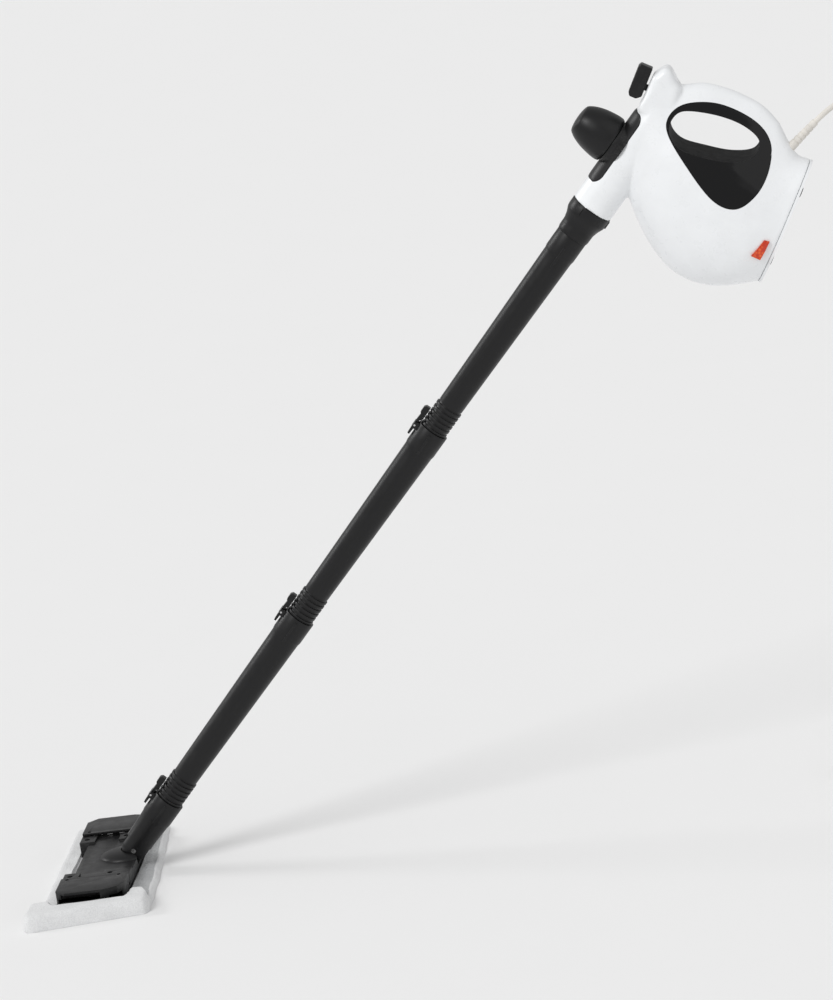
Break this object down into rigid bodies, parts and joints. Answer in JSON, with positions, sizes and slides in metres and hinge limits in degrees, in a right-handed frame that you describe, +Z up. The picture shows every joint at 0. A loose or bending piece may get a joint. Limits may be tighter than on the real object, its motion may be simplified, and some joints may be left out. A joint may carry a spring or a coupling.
{
  "type": "steam mop",
  "caption": "Hand-held steam unit on a jointed pole with a hinged flat floor head, cloth pad, filler cap, trigger, loop handle and mains cord.",
  "frame": {"origin": "on the floor under the middle of the floor head, at the cloth pad's underside", "axes": "+Z up; +X from the front of the floor head towards the handle; the mop is symmetric about Y = 0, apart from the pad's rolled end, the lens and the cord"},
  "size_m": [1.1621, 0.344, 0.8976],
  "materials": {
    "white_plastic": "cool white moulded plastic, satin gloss",
    "gloss_black": "piano black moulded plastic",
    "black_plastic": "satin black moulded plastic",
    "grey_rubber": "dark grey rubber",
    "steel": "bright steel",
    "boiler_aluminium": "cast aluminium",
    "brass": "turned brass",
    "line_white": "white heat-proof plastic tube",
    "red_lens": "red-orange translucent lens",
    "cream_cord": "cream cord jacket",
    "tie_black": "black wire tie",
    "cloth": "white and pale grey microfibre terry"
  },
  "bodies": {
    "neck": {"neck": "black_plastic", "latch_pin_neck": "steel"},
    "head": {"head_base": "black_plastic", "head_housing": "black_plastic", "head_pin": "steel", "head_screws": "steel", "clamp_pins": "steel", "cloth_pad": "cloth"},
    "clamp_near": {"clamp_near": "black_plastic"},
    "clamp_far": {"clamp_far": "black_plastic"},
    "latch_neck": {"latch_neck": "black_plastic"},
    "tube_lower": {"tube_lower": "black_plastic", "steam_line_lower": "line_white", "seal_lower": "grey_rubber", "latch_pin_lower": "steel"},
    "latch_lower": {"latch_lower": "black_plastic"},
    "tube_middle": {"tube_middle": "black_plastic", "steam_line_middle": "line_white", "seal_middle": "grey_rubber", "latch_pin_middle": "steel"},
    "latch_middle": {"latch_middle": "black_plastic"},
    "tube_upper": {"tube_upper": "black_plastic", "steam_line_upper": "line_white", "seal_upper": "grey_rubber"},
    "locking_collar": {"locking_collar": "black_plastic"},
    "unit": {"shell_left": "white_plastic", "shell_right": "white_plastic", "insert_left": "gloss_black", "insert_right": "gloss_black", "base_plate": "white_plastic", "base_feet": "grey_rubber", "saddle": "black_plastic", "nozzle_spigot": "black_plastic", "filler_neck": "brass", "boiler": "boiler_aluminium", "heater": "steel", "thermostat": "steel", "thermal_fuse": "black_plastic", "steam_switch": "black_plastic", "steam_pipe": "brass", "indicator_lens": "red_lens", "indicator_lamp": "red_lens", "housing_screws": "steel", "strain_relief": "cream_cord", "cord_lead": "cream_cord", "cord_tail": "cream_cord", "cord_coil": "cream_cord", "cord_tie": "tie_black", "plug": "cream_cord", "plug_pins": "brass"},
    "trigger": {"trigger": "black_plastic", "trigger_stem": "black_plastic"},
    "cap_plug": {"cap_plug": "brass", "cap_seal": "grey_rubber"},
    "filler_cap": {"filler_cap": "black_plastic"}
  },
  "joints": [
    {"name": "head_pitch", "type": "hinge", "parent": "neck", "child": "head", "pos_m": [0.038, 0, 0.031], "axis": [0, 1, 0], "range_deg": [-30, 40]},
    {"name": "lower_tube_pull", "type": "slide", "parent": "neck", "child": "tube_lower", "axis": [0.682, 0, 0.7314], "range_m": [0, 0.036]},
    {"name": "middle_tube_pull", "type": "slide", "parent": "tube_lower", "child": "tube_middle", "axis": [0.682, 0, 0.7314], "range_m": [0, 0.036]},
    {"name": "upper_tube_pull", "type": "slide", "parent": "tube_middle", "child": "tube_upper", "axis": [0.682, 0, 0.7314], "range_m": [0, 0.036]},
    {"name": "unit_pull", "type": "slide", "parent": "tube_upper", "child": "unit", "axis": [0.682, 0, 0.7314], "range_m": [0, 0.036]},
    {"name": "collar_turn", "type": "hinge", "parent": "tube_upper", "child": "locking_collar", "pos_m": [0.68249, 0, 0.72213], "axis": [0.682, 0, 0.7314], "range_deg": [0, 30]},
    {"name": "trigger_press", "type": "slide", "parent": "unit", "child": "trigger", "axis": [0.8607, 0, -0.509], "range_m": [0, 0.002], "stiffness_N_per_m": 500, "springref_m": -0.002},
    {"name": "cap_lift", "type": "slide", "parent": "unit", "child": "cap_plug", "axis": [-0.7314, 0, 0.682], "range_m": [0, 0.003]},
    {"name": "cap_turn", "type": "hinge", "parent": "cap_plug", "child": "filler_cap", "pos_m": [0.72738, 0, 0.81426], "axis": [-0.7314, 0, 0.682], "range_deg": [0, 360]},
    {"name": "clamp_near_open", "type": "hinge", "parent": "head", "child": "clamp_near", "pos_m": [0, -0.09, 0.023], "axis": [-1, 0, 0], "range_deg": [0, 15], "stiffness_Nm_per_rad": 0.6, "springref_deg": -17.19},
    {"name": "clamp_far_open", "type": "hinge", "parent": "head", "child": "clamp_far", "pos_m": [0, 0.09, 0.023], "axis": [1, 0, 0], "range_deg": [0, 15], "stiffness_Nm_per_rad": 0.6, "springref_deg": -17.19},
    {"name": "latch_neck_lift", "type": "hinge", "parent": "neck", "child": "latch_neck", "pos_m": [0.06843, 0, 0.0956], "axis": [0, -1, 0], "range_deg": [0, 5], "stiffness_Nm_per_rad": 0.2, "springref_deg": -8.59},
    {"name": "latch_lower_lift", "type": "hinge", "parent": "tube_lower", "child": "latch_lower", "pos_m": [0.26076, 0, 0.30184], "axis": [0, -1, 0], "range_deg": [0, 5], "stiffness_Nm_per_rad": 0.2, "springref_deg": -8.59},
    {"name": "latch_middle_lift", "type": "hinge", "parent": "tube_middle", "child": "latch_middle", "pos_m": [0.45308, 0, 0.50808], "axis": [0, -1, 0], "range_deg": [0, 5], "stiffness_Nm_per_rad": 0.2, "springref_deg": -8.59}
  ],
  "couplings": [
    {"joint": "cap_turn", "follows": "cap_lift", "rad_per_m": 2094}
  ]
}
